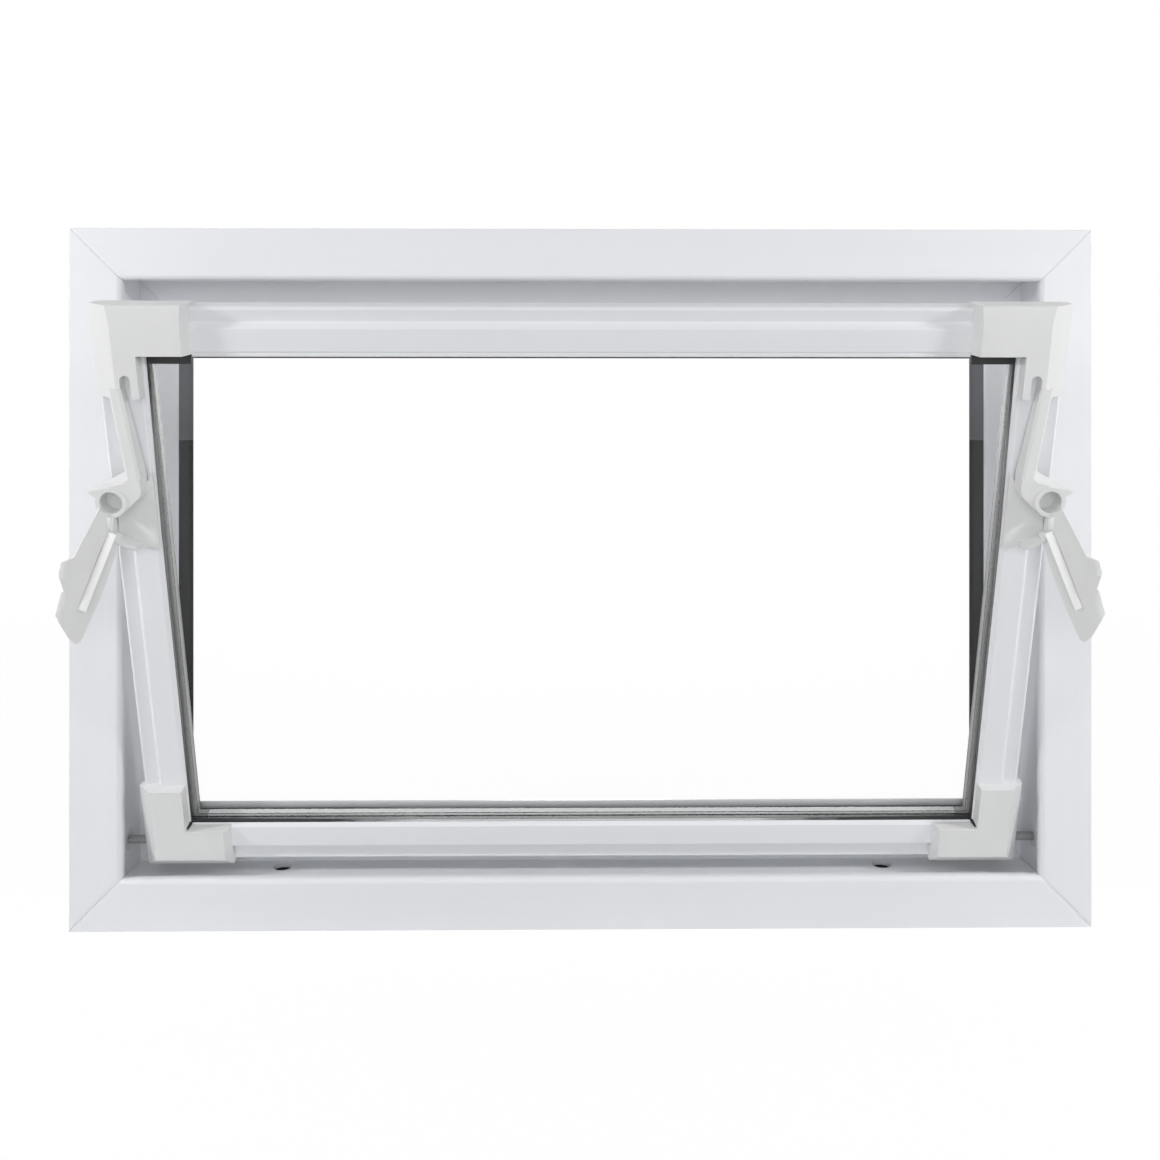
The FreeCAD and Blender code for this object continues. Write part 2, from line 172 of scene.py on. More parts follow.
# Sash: where the corners' pins start, which get a painted shade grey, and where the rubber is faded or
# dusty
CORNER_SIDE = 0.2608
FADED_SIDE = 0.2045
FADED_ABOVE = (0.060, 0.135)
FADED_BELOW = (0.316, 0.286)
DUST_TOP = 0.070
DUST_SIDE = (0.15, 0.10)
BLOOM_WANDER = 0.05

# Spacer, measured in the upright sash: its middle, its bars, the lines and spots of butyl on it, and the
# heights over which the shade painted on its uprights lifts
SPACER_MIDDLE = 0.005873
SPACER_LINE = 0.0020
SPACER_SIDE = 0.00277
UPRIGHT_SIDE = 0.2245
SEAL_LINE = (0.0623, 0.0632)
SEAL_WANDER = 0.0008
LINE_WANDER = 0.0012
SPOTS_ABOVE = 0.66
SPOT_STRENGTH = 0.6
SHADE_LIFTS_ABOVE = (0.17, 0.30)

# The sash's hinge axis, and its glazing edge in the upright sash round that axis
AXIS_Y = -0.007
AXIS_Z = 0.0458
GLAZING_HALF = 0.2328
GLAZING_FOOT = 0.0162
GLAZING_HEAD = 0.2994
SASH_MIDDLE = 0.2

# Gasket trim: the swellings beside the glazing's corners and the tails that turn into them
GASKET_DEPTH = (-0.0069, -0.00535)
GASKET_TUCK = 0.0005
UPRIGHT_SWELL = (0.150, 0.3000)
UPRIGHT_SWELL_WIDTH = 0.0026
UPRIGHT_SWELL_TAPER = 0.0022
FOOT_SWELL_LENGTH = 0.125
FOOT_SWELL_HEIGHT = 0.0019
FOOT_SWELL_TAPER = 0.0015
HEAD_SWELL_LENGTH = 0.0250
HEAD_SWELL_DROP = 0.0052
SWELL_EASE = 0.0002
TAIL_ACROSS = (-0.0012, 0.0010)
TAIL_DEPTH = (-0.0138, -0.0056)
TAIL_UP = (-0.0011, 0.0011)
TAIL_TAPER = 0.0008

# Lips: of the stiles and the top rail over the glass, and of the frame at the back of the opening
LIP_DEPTH = (-0.0086, -0.0066)
STILE_LIP_ACROSS = (-0.0030, 0.0015)
STILE_LIP_UP = (0.150, 0.2990)
STILE_LIP_TAPER = 0.0022
STILE_LIP_ROOT = 0.001
STILE_LIP_SLOPE = 0.0008
HEAD_LIP_HALF = 0.2066
HEAD_LIP_UP = (-0.0014, 0.0020)
HEAD_LIP_SLOPE = 0.0006
HEAD_LINE_UP = (-0.0023, -0.0004)
HEAD_LINE_SLOPE = 0.0004
REVEAL_LIP_ACROSS = (-0.2500, -0.2477)
REVEAL_LIP_DEPTH = (0.0250, 0.0291)
REVEAL_LIP_UP = (0.0500, 0.3605)
REVEAL_LIP_SLOPE = 0.0015
BEAD_DEPTH = (0.0068, 0.0088)
BEAD_UP = (0, 0.0047)
BEAD_SLOPE = 0.0006
TRIM_EASE = 0.0003

# Right latch, in the upright sash: the rib along its finger plate
RIB_TOP = (0.2529, -0.0214, 0.2148)
RIB_AIM = (0.2744, -0.0344, 0.1438)
RIB_LEAN = 28.0
RIB_ACROSS = (-0.0019, 0.0019)
RIB_DEPTH = (-0.0038, 0.0023)
RIB_SPAN = (0.0095, 0.0545)
RIB_SLOPE = 0.0032
RIB_FAR_SHIFT = 0.0022
RIB_NEAR_SHIFT = -0.0026
RIB_EASE = 0.0004

# Right latch: its eye, and the rim and the wall at the foot of its web, measured from the eye
EYE_X = 0.2524
EYE_Y = -0.010
EYE_Z = 0.2215
RIM_ACROSS = (-0.0060, 0.0018)
RIM_DEPTH = (-0.0119, -0.0015)
RIM_UP = (-0.0266, -0.0240)
RIM_RISE = 0.0044
RIM_END = -0.005
RIM_DRAW = (-0.0046, 0.0008, -0.0015)
RIM_EASE = 0.0006
WALL_ACROSS = (0.0018, 0.0042)
WALL_DEPTH = (-0.0112, -0.0003)
WALL_UP = (-0.0205, -0.0085)
WALL_SLOPE = 0.0060
WALL_EASE = 0.0005

# Rounding of the solids' edges, and the angles in degrees that count as flat, sharp or smooth
PROFILE_EDGE = 0.0005
MOULDED_EDGE = 0.0011
LATCH_EDGE = 0.0004
RUBBER_EDGE = 0.0003
SPACER_EDGE = 0.00012
MERGE_WITHIN = 0.000004
FLAT_ANGLE = 0.4
SHARP_ANGLE = 28.0
SMOOTH_ANGLE = 40
EDGE_STEPS = 3
TRIM_STEPS = 2
FACE_WEIGHT = 90


class Value:
    """A socket that takes part in sums, so that shader maths reads as arithmetic."""

    def __init__(self, finish, socket):
        self.finish = finish
        self.socket = socket

    def maths(self, operation, first, second):
        return self.finish.node("ShaderNodeMath", {"operation": operation}, {0: first, 1: second})

    def __add__(self, other):
        return self.maths("ADD", self, other)

    def __radd__(self, other):
        return self.maths("ADD", other, self)

    def __sub__(self, other):
        return self.maths("SUBTRACT", self, other)

    def __rsub__(self, other):
        return self.maths("SUBTRACT", other, self)

    def __mul__(self, other):
        return self.maths("MULTIPLY", self, other)

    def __rmul__(self, other):
        return self.maths("MULTIPLY", other, self)

    def __pow__(self, other):
        return self.maths("POWER", self, other)

    def __gt__(self, other):
        return self.maths("GREATER_THAN", self, other)

    def __lt__(self, other):
        return self.maths("LESS_THAN", self, other)

    def __abs__(self):
        return self.maths("ABSOLUTE", self, 0.0)


class Finish:
    """A material, or the world, and the nodes that make it."""

    def __init__(self, owner):
        self.owner = owner
        owner.use_nodes = True
        self.tree = owner.node_tree
        self.tree.nodes.clear()

    def node(self, kind, settings, sockets, output=0):
        made = self.tree.nodes.new(kind)
        for name, value in settings.items():
            setattr(made, name, value)
        for key, value in sockets.items():
            if isinstance(value, Value):
                self.tree.links.new(value.socket, made.inputs[key])
            else:
                made.inputs[key].default_value = value
        return Value(self, made.outputs[output]) if made.outputs else None

    def place(self, turn=(0, 0, 0), scale=(1, 1, 1)):
        """The piece's own place, turned and stretched for a pattern."""
        point = self.node("ShaderNodeTexCoord", {}, {}, "Object")
        return self.node("ShaderNodeMapping", {"vector_type": "POINT"}, {
            "Vector": point, "Rotation": turn, "Scale": scale})

    def along(self, place, axis):
        """One of the three measures of a place."""
        return self.node("ShaderNodeSeparateXYZ", {}, {"Vector": place}, axis)

    def noise(self, place, pattern):
        scale, detail = pattern
        return self.node("ShaderNodeTexNoise", {}, {
            "Vector": place, "Scale": scale, "Detail": detail, "Roughness": 0.5}, "Fac")

    def blend(self, factor, first, second):
        """One colour into another."""
        return self.node("ShaderNodeMix", {"data_type": "RGBA"}, {
            0: factor, 6: colour(first), 7: colour(second)}, 2)

    def mottle(self, pattern, tone, shades):
        """A colour that a pattern takes from one of its shades to the other."""
        low, high = shades
        return self.blend(self.spread(pattern, (0.0, 1.0)), shade(tone, low), shade(tone, high))

    def spread(self, pattern, span):
        """A pattern, stretched over a span of values."""
        return self.node("ShaderNodeMapRange", {"clamp": True}, {
            "Value": pattern,
            "From Min": PATTERN_RANGE[0],
            "From Max": PATTERN_RANGE[1],
            "To Min": span[0],
            "To Max": span[1]})

    def ramp(self, value, start, end):
        """0 at the start, 1 at the end and even between them."""
        return self.node("ShaderNodeMapRange", {"clamp": True}, {
            "Value": value, "From Min": start, "From Max": end, "To Min": 0.0, "To Max": 1.0})

    def bump(self, height, relief, over=None):
        strength, depth = relief
        sockets = {"Height": height, "Strength": strength, "Distance": depth}
        if over:
            sockets["Normal"] = over
        return self.node("ShaderNodeBump", {}, sockets)

    def surface(self, shader):
        of_world = isinstance(self.owner, bpy.types.World)
        kind = "ShaderNodeOutputWorld" if of_world else "ShaderNodeOutputMaterial"
        self.node(kind, {}, {"Surface": shader})


def colour(value):
    return value if isinstance(value, Value) else (*value, 1.0)


def shade(value, factor):
    return tuple(channel * factor for channel in value)


def rear_inner_side(finish, along):
    """1 on the rear leg's inner side, round the clear opening."""
    place = finish.place()
    depth = finish.along(place, "Y")
    if along == ALONG_Z:
        inside = abs(finish.along(place, "X")) < OPENING_HALF_WIDTH
    else:
        inside = abs(finish.along(place, "Z") - OPENING_MIDDLE) < OPENING_HALF_HEIGHT
    return inside * (depth > LEG_FRONT) * (depth < LEG_BACK)


def painted_opening_shade(finish, base, along):
    """Painted shade: dark on the rear leg's inner side, lighter above a height, and grey in the hollow
    under the sill's holes.
    """
    place = finish.place()
    depth = finish.along(place, "Y")
    height = finish.along(place, "Z")
    dark = finish.blend(height > REVEAL_SHADE_CHANGE, REVEAL_SHADE_DARK, REVEAL_SHADE_GREY)
    beside_hole = abs(abs(finish.along(place, "X")) - SCREW_HOLE) < HOLLOW_HALF
    # painted shade in the hollow under the sill's holes
    hollow = (height < HOLLOW_TOP) * (height > HOLLOW_FOOT) * (abs(depth) < HOLLOW_HALF) * beside_hole
    shade_painted = finish.blend(rear_inner_side(finish, along), base, dark)
    return finish.blend(hollow, shade_painted, SHADED_GREY)


def weld_groove(finish):
    """0 in the cleaned weld of the frame's lower mitres and 1 beside it."""
    place = finish.place()
    height = finish.along(place, "Z")
    off_mitre = abs(abs(finish.along(place, "X")) + height - FRAME_HALF) * MITRE_SLOPE
    face = (finish.along(place, "Y") < FACE_DEPTH) * (height < FACE_WIDTH)
    return 1 - face * (1 - finish.ramp(off_mitre, 0.0, WELD_HALF))


def extruded_plastic(name, along, turn, shade_painted=False):
    """White window profile: satin, with faint draw lines along the bar and a few cloudy patches."""
    finish = Finish(bpy.data.materials.new(name))
    stretch = [1.0, 1.0, 1.0]
    stretch[along] = DRAWN_STRETCH
    drawn = finish.place(turn, tuple(stretch))
    plain = finish.place()
    lines = finish.noise(drawn, DRAW_LINES)
    broad_lines = finish.noise(drawn, BROAD_LINES)
    clouds = finish.noise(plain, CLOUDS)
    grain = finish.noise(plain, PROFILE_GRAIN)
    base = finish.mottle(clouds * 0.6 + broad_lines * 0.4, PROFILE_WHITE, PROFILE_SHADES)
    roughness = finish.spread(lines * 0.5 + clouds * 0.5, PROFILE_ROUGHNESS)
    relief = finish.bump(lines * 0.6 + grain * 0.4, PROFILE_RELIEF)
    # On the frame, painted shade darkens the rear leg's inner side and the hollow under the sill's holes;
    # that side is also rougher, and the lower mitres get a weld groove
    if shade_painted:
        base = painted_opening_shade(finish, base, along)
        roughness = roughness + REAR_SIDE_ROUGHER * rear_inner_side(finish, along)
        relief = finish.bump(weld_groove(finish), WELD_RELIEF, relief)
    shader = finish.node("ShaderNodeBsdfPrincipled", {}, {
        "Base Color": base,
        "Roughness": roughness,
        "IOR": PLASTIC_IOR,
        "Specular IOR Level": FRAME_GLOSS if shade_painted else SASH_GLOSS,
        "Normal": relief})
    finish.surface(shader)
    return finish.owner


def moulded_plastic(name, pinned=False, tone=MOULDED_WHITE):
    """White injection moulding: a fine eroded texture and slight flow marks. The hinge pins get a painted
    shade grey, the tone of the shaded gap they cross.
    """
    finish = Finish(bpy.data.materials.new(name))
    place = finish.place()
    texture = finish.noise(place, MOULD_TEXTURE)
    flow = finish.noise(finish.place(FLOW_TURN, FLOW_STRETCH), MOULD_FLOW)
    base = finish.mottle(flow, tone, MOULDED_SHADES)
    if pinned:
        # painted shade: the pins take the grey of the shaded gap
        base = finish.blend(abs(finish.along(place, "X")) > CORNER_SIDE, base, PIN_SHADE_GREY)
    shader = finish.node("ShaderNodeBsdfPrincipled", {}, {
        "Base Color": base,
        "Roughness": finish.spread(flow * 0.6 + texture * 0.4, MOULDED_ROUGHNESS),
        "IOR": PLASTIC_IOR,
        "Normal": finish.bump(texture, MOULDED_RELIEF)})
    finish.surface(shader)
    return finish.owner


def gasket_rubber():
    """Black glazing rubber, faded grey along the uprights, with pale dust along the middle of its foot."""
    finish = Finish(bpy.data.materials.new("gasket_rubber"))
    place = finish.place()
    bloom = finish.noise(place, RUBBER_BLOOM)
    pores = finish.noise(place, RUBBER_PORES)
    black = finish.mottle(bloom, RUBBER_BLACK, RUBBER_SHADES)
    reach = abs(finish.along(place, "X")) + (bloom - 0.5) * BLOOM_WANDER
    height = finish.along(place, "Z")
    between_corners = finish.ramp(height, *FADED_ABOVE) * finish.ramp(height, *FADED_BELOW)
    faded = finish.blend(between_corners * (reach > FADED_SIDE), black, RUBBER_GREY)
    dust = finish.ramp(reach, *DUST_SIDE) * (height < DUST_TOP)
    shader = finish.node("ShaderNodeBsdfPrincipled", {}, {
        "Base Color": finish.blend(dust, faded, RUBBER_DUST),
        "Roughness": finish.spread(bloom, RUBBER_ROUGHNESS),
        "Normal": finish.bump(pores, RUBBER_RELIEF)})
    finish.surface(shader)
    return finish.owner


def spacer_aluminium():
    """Mill aluminium spacer with a fine grain, smeared with black butyl where it meets the panes; painted
    shade darkens its uprights, less so towards the top on the sides beside the panes.
    """
    finish = Finish(bpy.data.materials.new("spacer_aluminium"))
    place = finish.place(SASH_TURN)
    depth = abs(finish.along(place, "Y") - SPACER_MIDDLE)
    grain = finish.noise(place, SPACER_GRAIN)
    smear = finish.noise(place, SPACER_SMEAR)
    beside_pane = depth > SPACER_SIDE
    height = finish.along(place, "Z") + (smear - 0.5) * SEAL_WANDER
    foot_line = beside_pane * (height > SEAL_LINE[0]) * (height < SEAL_LINE[1])
    edge_line = (depth + (smear - 0.5) * LINE_WANDER > SPACER_LINE) * (depth < SPACER_SIDE)
    spots = SPOT_STRENGTH * beside_pane * (smear > SPOTS_ABOVE)
    butyl = finish.node("ShaderNodeMath", {"operation": "MAXIMUM"}, {0: foot_line + edge_line, 1: spots})
    bright = finish.mottle(grain, SPACER_GREY, SPACER_BRIGHT)
    # Painted shade: the uprights are darker, except towards the top on the sides beside the panes
    shaded_metal = finish.mottle(grain, SPACER_GREY, SPACER_PAINTED_SHADE)
    shade_lifted = beside_pane * finish.ramp(finish.along(finish.place(), "Z"), *SHADE_LIFTS_ABOVE)
    upright = finish.blend(shade_lifted, shaded_metal, bright)
    metal = finish.blend(abs(finish.along(place, "X")) > UPRIGHT_SIDE, bright, upright)
    shader = finish.node("ShaderNodeBsdfPrincipled", {}, {
        "Base Color": finish.blend(butyl, metal, BUTYL_GREY),
        "Metallic": SPACER_METAL,
        "Roughness": finish.spread(grain, SPACER_ROUGHNESS),
        "Normal": finish.bump(grain, SPACER_RELIEF)})
    finish.surface(shader)
    return finish.owner


def pane_glass():
    """Clear float glass: seen through head-on, mirroring at a glance, with the faintest wipe marks."""
    finish = Finish(bpy.data.materials.new("pane_glass"))
    wipes = finish.noise(finish.place(WIPE_TURN, WIPE_STRETCH), GLASS_WIPES)
    mirror = finish.node("ShaderNodeBsdfGlossy", {}, {
        "Color": colour(WHITE), "Roughness": finish.spread(wipes, GLASS_ROUGHNESS)})
    clear = finish.node("ShaderNodeBsdfTransparent", {}, {"Color": colour(WHITE)})
    edge_on = finish.node("ShaderNodeLayerWeight", {}, {"Blend": 0.5}, "Facing")
    mirrored = MIRROR_HEAD_ON + MIRROR_GLANCE * edge_on ** MIRROR_POWER
    finish.surface(finish.node("ShaderNodeMixShader", {}, {0: mirrored, 1: clear, 2: mirror}))
    return finish.owner


def soften(piece, edge):
    """Rounds the piece's sharp edges, as drawn or moulded plastic has them."""
    merge = piece.modifiers.new("merge", "WELD")
    merge.merge_threshold = MERGE_WITHIN
    flat = piece.modifiers.new("flat_faces", "DECIMATE")
    flat.decimate_type = "DISSOLVE"
    flat.angle_limit = math.radians(FLAT_ANGLE)
    edges = piece.modifiers.new("soft_edges", "BEVEL")
    edges.width = edge
    edges.segments = EDGE_STEPS
    edges.limit_method = "ANGLE"
    edges.angle_limit = math.radians(SHARP_ANGLE)
    edges.use_clamp_overlap = True
    normals = piece.modifiers.new("even_shading", "WEIGHTED_NORMAL")
    normals.weight = FACE_WEIGHT
    normals.keep_sharp = False


def dress(names, material, edge=0.0):
    for name in names:
        piece = NODES[name]
        piece.data.materials.clear()
        piece.data.materials.append(material)
        if edge:
            soften(piece, edge)


def middle(span):
    low, high = span
    return (low + high) / 2


def shifted(start, span):
    low, high = span
    return (start + low, start + high)


def bar_between(name, across, depth, up):
    """A bar added at its size and place."""
    bpy.ops.object.select_all(action="DESELECT")
    spans = (across, depth, up)
    bpy.ops.mesh.primitive_cube_add(
        size=1,
        location=[middle(span) for span in spans],
        scale=[high - low for low, high in spans])
    bar = bpy.context.object
    bar.name = name
    bpy.ops.object.transform_apply(location=True, rotation=True, scale=True)
    return bar


def pull(piece, chosen, move):
    """Moves the corners that a test picks by their place."""
    places = [chosen(corner.co) for corner in piece.data.vertices]
    bpy.ops.object.mode_set(mode="EDIT")
    bpy.ops.mesh.select_mode(type="VERT")
    bpy.ops.mesh.select_all(action="DESELECT")
    bpy.ops.object.mode_set(mode="OBJECT")
    for corner, picked in zip(piece.data.vertices, places):
        corner.select = picked
    bpy.ops.object.mode_set(mode="EDIT")
    bpy.ops.transform.translate(value=move)
    bpy.ops.object.mode_set(mode="OBJECT")


def draw_out(piece, chosen, move):
    """Extrudes the end that a test picks by its corners."""
    pull(piece, chosen, (0, 0, 0))
    bpy.ops.object.mode_set(mode="EDIT")
    bpy.ops.mesh.select_mode(type="FACE")
    bpy.ops.mesh.extrude_region_move(TRANSFORM_OT_translate={"value": move})
    bpy.ops.object.mode_set(mode="OBJECT")


def ease_edges(width):
    """Rounds all edges of the piece at hand."""
    bpy.ops.object.mode_set(mode="EDIT")
    bpy.ops.mesh.select_mode(type="EDGE")
    bpy.ops.mesh.select_all(action="SELECT")
    bpy.ops.mesh.bevel(offset=width, segments=TRIM_STEPS, affect="EDGES")
    bpy.ops.object.mode_set(mode="OBJECT")
    bpy.ops.object.shade_smooth_by_angle(angle=math.radians(SMOOTH_ANGLE))


def face_outwards():
    """Turns the faces of the piece at hand outwards again after it was mirrored."""
    bpy.ops.object.mode_set(mode="EDIT")
    bpy.ops.mesh.select_all(action="SELECT")
    bpy.ops.mesh.normals_make_consistent(inside=False)
    bpy.ops.object.mode_set(mode="OBJECT")


def other_hand(piece, name):
    """The same piece on the other side, with its own mesh."""
    bpy.ops.object.select_all(action="DESELECT")
    copy = piece.copy()
    copy.data = piece.data.copy()
    copy.name = name
    bpy.context.scene.collection.objects.link(copy)
    copy.select_set(True)
    bpy.context.view_layer.objects.active = copy
    copy.scale = (-1, 1, 1)
    bpy.ops.object.transform_apply(location=False, rotation=False, scale=True)
    face_outwards()
    return copy


def hang_on_sash(piece, material):
    """Tilts a piece drawn in the upright sash to the sash's place, and lets it move with it."""
    bpy.ops.object.select_all(action="DESELECT")
    piece.select_set(True)
    bpy.context.view_layer.objects.active = piece
    piece.rotation_euler = (math.radians(TILT), 0, 0)
    piece.location = (0, AXIS_Y, AXIS_Z)
    bpy.ops.object.transform_apply(location=True, rotation=True, scale=True)
    piece.data.materials.append(material)
    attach(piece, "sash")


def both_hands(piece, material):
    made, other = ("left", "right") if "left" in piece.name else ("right", "left")
    twin = other_hand(piece, piece.name.replace(made, other))
    hang_on_sash(piece, material)
    hang_on_sash(twin, material)


def reveal_lip(plastic):
    """The lip at the back of the opening, along each jamb."""
    lip = bar_between("reveal_lip_left", REVEAL_LIP_ACROSS, REVEAL_LIP_DEPTH, REVEAL_LIP_UP)
    inner = middle(REVEAL_LIP_ACROSS)
    front = middle(REVEAL_LIP_DEPTH)
    pull(lip, lambda place: place.x > inner and place.y < front, (-REVEAL_LIP_SLOPE, 0, 0))
    ease_edges(TRIM_EASE)
    right = other_hand(lip, "reveal_lip_right")
    for piece in (lip, right):
        piece.data.materials.append(plastic)
        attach(piece, "frame")


def stile_lip(plastic):
    """The lip of each stile over the glass, which widens towards the head."""
    edge = -GLAZING_HALF
    root = edge - STILE_LIP_ROOT
    front = middle(LIP_DEPTH)
    lip = bar_between("stile_lip_left", shifted(edge, STILE_LIP_ACROSS), LIP_DEPTH, STILE_LIP_UP)
    pull(lip, lambda place: place.x > edge and place.z < SASH_MIDDLE, (-STILE_LIP_TAPER, 0, 0))
    pull(lip, lambda place: place.x > root and place.y < front, (-STILE_LIP_SLOPE, 0, 0))
    ease_edges(TRIM_EASE)
    both_hands(lip, plastic)


def head_lip(plastic, rubber):
    """The lip of the top rail over the glass, with the gasket's edge under it."""
    across = (-HEAD_LIP_HALF, HEAD_LIP_HALF)
    lip_front = middle(LIP_DEPTH)
    lip = bar_between("head_lip", across, LIP_DEPTH, shifted(GLAZING_HEAD, HEAD_LIP_UP))
    pull(lip, lambda place: place.z < GLAZING_HEAD and place.y < lip_front, (0, 0, HEAD_LIP_SLOPE))
    ease_edges(TRIM_EASE)
    hang_on_sash(lip, plastic)

    line_up = shifted(GLAZING_HEAD, HEAD_LINE_UP)
    line_middle = middle(line_up)
    line_front = middle(GASKET_DEPTH)
    line = bar_between("gasket_line_head", across, GASKET_DEPTH, line_up)
    pull(line, lambda place: place.z < line_middle and place.y < line_front, (0, 0, HEAD_LINE_SLOPE))
    ease_edges(TRIM_EASE)
    hang_on_sash(line, rubber)


def uneven_gasket(rubber):
    """The gasket swells towards the corners and turns into them."""
    edge = -GLAZING_HALF
    upright_across = shifted(edge, (-GASKET_TUCK, UPRIGHT_SWELL_WIDTH))
    upright = bar_between("gasket_swell_upright_left", upright_across, GASKET_DEPTH, UPRIGHT_SWELL)
    pull(upright, lambda place: place.x > edge and place.z < SASH_MIDDLE, (-UPRIGHT_SWELL_TAPER, 0, 0))
    ease_edges(SWELL_EASE)
    both_hands(upright, rubber)

    foot_across = shifted(edge, (0, FOOT_SWELL_LENGTH))
    foot_middle = middle(foot_across)
    foot_up = shifted(GLAZING_FOOT, (-GASKET_TUCK, FOOT_SWELL_HEIGHT))
    foot = bar_between("gasket_swell_foot_left", foot_across, GASKET_DEPTH, foot_up)
    pull(foot, lambda place: place.x > foot_middle and place.z > GLAZING_FOOT, (0, 0, -FOOT_SWELL_TAPER))
    ease_edges(SWELL_EASE)
    both_hands(foot, rubber)

    head_across = shifted(edge, (0, HEAD_SWELL_LENGTH))
    head_up = shifted(GLAZING_HEAD, (-HEAD_SWELL_DROP, GASKET_TUCK))
    head = bar_between("gasket_swell_head_left", head_across, GASKET_DEPTH, head_up)
    ease_edges(SWELL_EASE)
    both_hands(head, rubber)

    front = middle(TAIL_DEPTH)
    for level, height, turned in (("foot", GLAZING_FOOT, -1), ("head", GLAZING_HEAD, 1)):
        name = "gasket_tail_%s_left" % level
        tail = bar_between(name, shifted(edge, TAIL_ACROSS), TAIL_DEPTH, shifted(height, TAIL_UP))
        rise = turned * TAIL_TAPER
        pull(tail, lambda place: place.y < front and place.x > edge, (-TAIL_TAPER, 0, 0))
        pull(tail, lambda place: place.y < front and (place.z - height) * turned < 0, (0, 0, rise))
        ease_edges(TRIM_EASE)
        both_hands(tail, rubber)


def outer_bead(plastic):
    """The bead behind the outer pane, which shows as a grey line over the foot of the glass."""
    up = shifted(GLAZING_FOOT, BEAD_UP)
    level = middle(up)
    back = middle(BEAD_DEPTH)
    bead = bar_between("outer_bead_foot", (-GLAZING_HALF, GLAZING_HALF), BEAD_DEPTH, up)
    pull(bead, lambda place: place.y > back and place.z > level, (0, 0, -BEAD_SLOPE))
    ease_edges(TRIM_EASE)
    hang_on_sash(bead, plastic)


def grip_rib(plastic):
    """The rib along the finger plate of each latch, proud of it and sloped towards its outer side; its
    whiter colour is a painted highlight.
    """
    top = Vector(RIB_TOP)
    along = (Vector(RIB_AIM) - top).normalized()
    lean = Vector((1, -math.tan(math.radians(RIB_LEAN)), 0))
    across = (lean - along * lean.dot(along)).normalized()
    back = across.cross(along)
    halfway = middle(RIB_SPAN)
    rib = bar_between("grip_rib_right", RIB_ACROSS, RIB_DEPTH, RIB_SPAN)
    pull(rib, lambda place: place.x > 0 and place.y < 0, (0, RIB_SLOPE, 0))
    pull(rib, lambda place: place.z > halfway, (RIB_FAR_SHIFT, 0, 0))
    pull(rib, lambda place: place.z < halfway, (RIB_NEAR_SHIFT, 0, 0))
    ease_edges(RIB_EASE)
    rib.matrix_world = Matrix((
        (across.x, back.x, along.x, top.x),
        (across.y, back.y, along.y, top.y),
        (across.z, back.z, along.z, top.z),
        (0, 0, 0, 1)))
    bpy.ops.object.transform_apply(location=True, rotation=True, scale=True)
    face_outwards()
    both_hands(rib, plastic)


def latch_rim(plastic):
    """The tall rim along the foot of each latch's web, and the wall that runs on from it up to the eye."""
    rim = bar_between(
        "latch_rim_right", shifted(EYE_X, RIM_ACROSS), shifted(EYE_Y, RIM_DEPTH), shifted(EYE_Z, RIM_UP))
    pull(rim, lambda place: place.x > EYE_X, (0, 0, RIM_RISE))
    draw_out(rim, lambda place: place.x < EYE_X + RIM_END, RIM_DRAW)
    ease_edges(RIM_EASE)
    both_hands(rim, plastic)

    depth = shifted(EYE_Y, WALL_DEPTH)
    up = shifted(EYE_Z, WALL_UP)
    front = middle(depth)
    level = middle(up)
    wall = bar_between("latch_wall_right", shifted(EYE_X, WALL_ACROSS), depth, up)
    pull(wall, lambda place: place.z > level and place.y < front, (0, WALL_SLOPE, 0))
    ease_edges(WALL_EASE)
    both_hands(wall, plastic)


def dress_frame(moulding):
    across = extruded_plastic("frame_plastic_across", ALONG_X, FRAME_TURN, True)
    upright = extruded_plastic("frame_plastic_upright", ALONG_Z, FRAME_TURN, True)
    dress(("frame_sill", "frame_head"), across, PROFILE_EDGE)
    dress(("frame_jamb_left", "frame_jamb_right"), upright, PROFILE_EDGE)
    dress(("hinge_bush_left", "hinge_bush_right"), moulding, LATCH_EDGE)
    reveal_lip(upright)


def dress_sash(moulding):
    rails = extruded_plastic("sash_plastic_across", ALONG_X, SASH_TURN)
    stiles = extruded_plastic("sash_plastic_upright", ALONG_Z, SASH_TURN)
    pinned = moulded_plastic("pinned_plastic", True)
    rubber = gasket_rubber()
    dress(("sash_top_rail", "sash_bottom_rail"), rails, PROFILE_EDGE)
    dress(("sash_stile_left", "sash_stile_right"), stiles, PROFILE_EDGE)
    dress(("corner_top_left", "corner_top_right"), moulding, MOULDED_EDGE)
    dress(("corner_bottom_left", "corner_bottom_right"), pinned, MOULDED_EDGE)
    dress(("latch_left", "latch_right"), moulding, LATCH_EDGE)
    dress(("inner_gasket", "outer_gasket"), rubber, RUBBER_EDGE)
    dress(("spacer_frame",), spacer_aluminium(), SPACER_EDGE)
    dress(("inner_pane", "outer_pane"), pane_glass())
    stile_lip(stiles)
    head_lip(rails, rubber)
    uneven_gasket(rubber)
    outer_bead(extruded_plastic("bead_plastic", ALONG_X, SASH_TURN))
    # the rib's whiter tone is a painted highlight
    grip_rib(moulded_plastic("rib_plastic", tone=RIB_PAINTED_LIGHT))
    latch_rim(moulding)


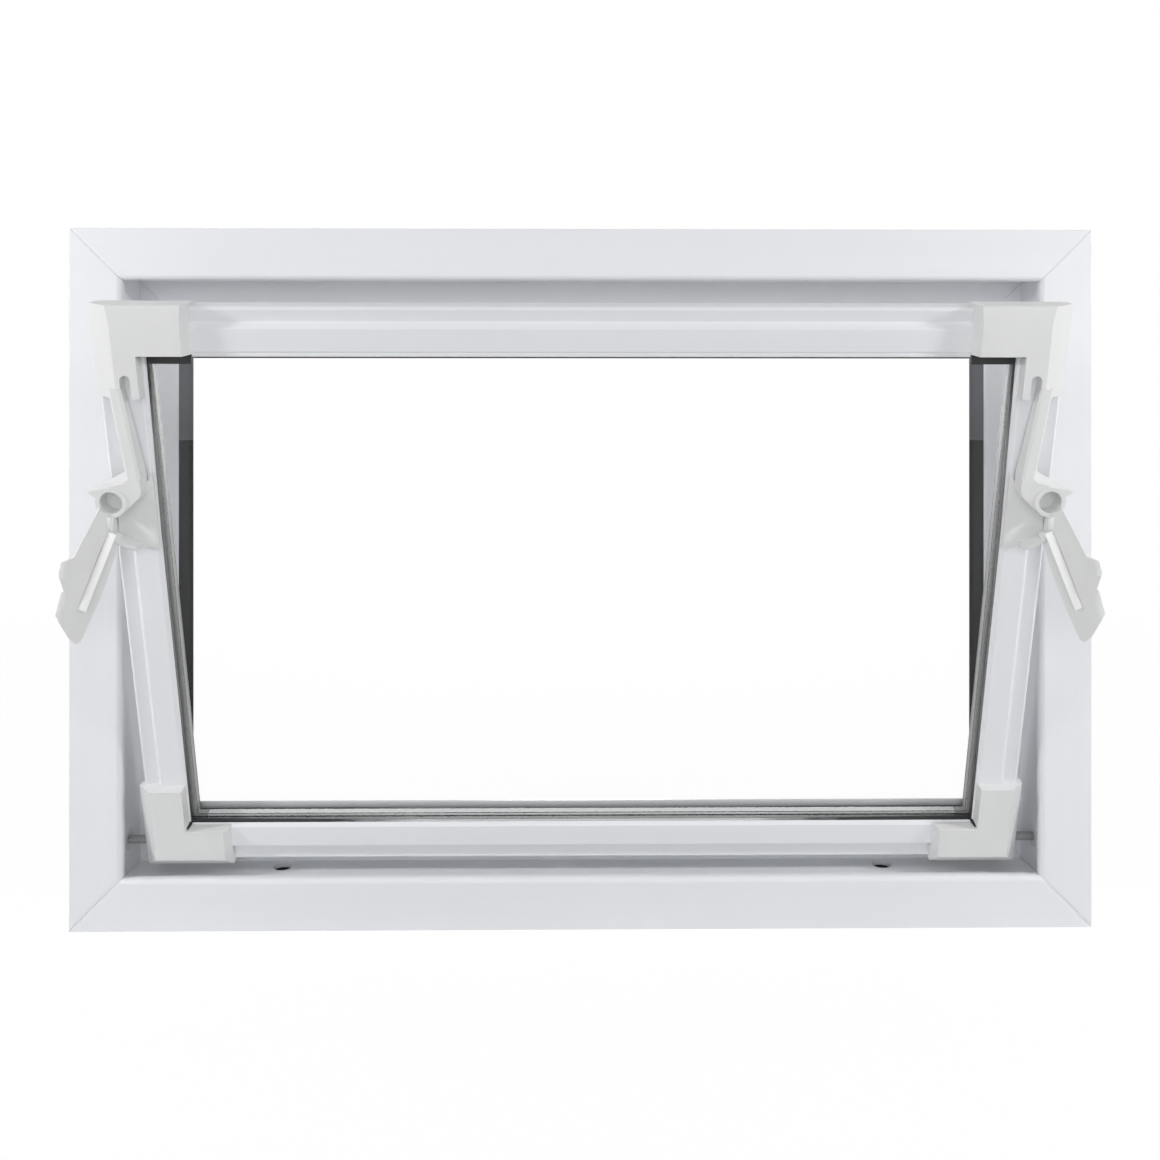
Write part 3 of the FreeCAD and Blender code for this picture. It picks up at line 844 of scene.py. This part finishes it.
def place_camera():
    data = bpy.data.cameras.new("camera")
    data.sensor_width = SENSOR_WIDTH
    data.lens = FOCAL_PIXELS * SENSOR_WIDTH / PHOTO_WIDTH
    data.shift_x = (PHOTO_WIDTH / 2 - AXIS_PIXEL[0]) / PHOTO_WIDTH
    data.shift_y = (AXIS_PIXEL[1] - PHOTO_WIDTH / 2) / PHOTO_WIDTH
    data.clip_start = NEAR_CLIP
    camera = bpy.data.objects.new("camera", data)
    camera.location = CAMERA_PLACE
    camera.rotation_euler = (math.radians(90), 0, math.radians(CAMERA_TURN))
    bpy.context.scene.collection.objects.link(camera)
    bpy.context.scene.camera = camera


def light_studio():
    for name, (place, width, height, watts) in LAMPS.items():
        data = bpy.data.lights.new(name, "AREA")
        data.shape = "RECTANGLE"
        data.size = width
        data.size_y = height
        data.energy = watts
        lamp = bpy.data.objects.new(name, data)
        lamp.location = place
        lamp.visible_camera = False
        lamp.rotation_euler = (Vector(LAMP_AIM) - Vector(place)).to_track_quat("-Z", "Y").to_euler()
        bpy.context.scene.collection.objects.link(lamp)


def seen_directly(finish):
    """1 for the camera, and for what glass and gloss show of the background."""
    camera = finish.node("ShaderNodeLightPath", {}, {}, "Is Camera Ray")
    glossy = finish.node("ShaderNodeLightPath", {}, {}, "Is Glossy Ray")
    through = finish.node("ShaderNodeLightPath", {}, {}, "Is Transmission Ray")
    return finish.node("ShaderNodeMath", {"operation": "ADD", "use_clamp": True}, {
        0: camera, 1: glossy + through})


def white_backdrop():
    world = bpy.data.worlds.new("studio")
    bpy.context.scene.world = world
    finish = Finish(world)
    seen = seen_directly(finish)
    direction = finish.node("ShaderNodeTexCoord", {}, {}, "Generated")
    outwards = finish.along(direction, "Y")
    ambient = AMBIENT_BACK + (AMBIENT_ROOM - AMBIENT_BACK) * (0.5 - 0.5 * outwards)
    finish.surface(finish.node("ShaderNodeBackground", {}, {
        "Color": colour(WHITE), "Strength": seen * (1 - ambient) + ambient}))


def white_floor():
    """A white floor that takes the window's shadow and fades into the backdrop."""
    bpy.ops.object.select_all(action="DESELECT")
    bpy.ops.mesh.primitive_plane_add(size=FLOOR_SIZE, location=(0, 0, FLOOR_LEVEL))
    floor = bpy.context.object
    floor.name = "floor"
    bpy.ops.object.transform_apply(location=True, rotation=False, scale=False)
    finish = Finish(bpy.data.materials.new("floor_paper"))
    place = finish.place()
    seen = seen_directly(finish)
    bare = finish.mottle(finish.noise(place, FLOOR_MOTTLE), WHITE, FLOOR_SHADES)
    paper = finish.node("ShaderNodeBsdfDiffuse", {}, {"Color": finish.blend(seen, bare, FLOOR_SEEN)})
    glow = finish.node("ShaderNodeEmission", {}, {"Color": colour(WHITE), "Strength": seen * FLOOR_GLOW})
    white = finish.node("ShaderNodeAddShader", {}, {0: paper, 1: glow})
    far = finish.node("ShaderNodeVectorMath", {"operation": "LENGTH"}, {0: place}, "Value")
    gone = finish.node("ShaderNodeBsdfTransparent", {}, {"Color": colour(WHITE)})
    fade = finish.ramp(far, *FLOOR_FADE)
    finish.surface(finish.node("ShaderNodeMixShader", {}, {0: fade, 1: white, 2: gone}))
    floor.data.materials.append(finish.owner)


bpy.context.scene.view_settings.view_transform = "Standard"
moulded = moulded_plastic("moulded_plastic")
dress_frame(moulded)
dress_sash(moulded)
place_camera()
light_studio()
white_backdrop()
white_floor()
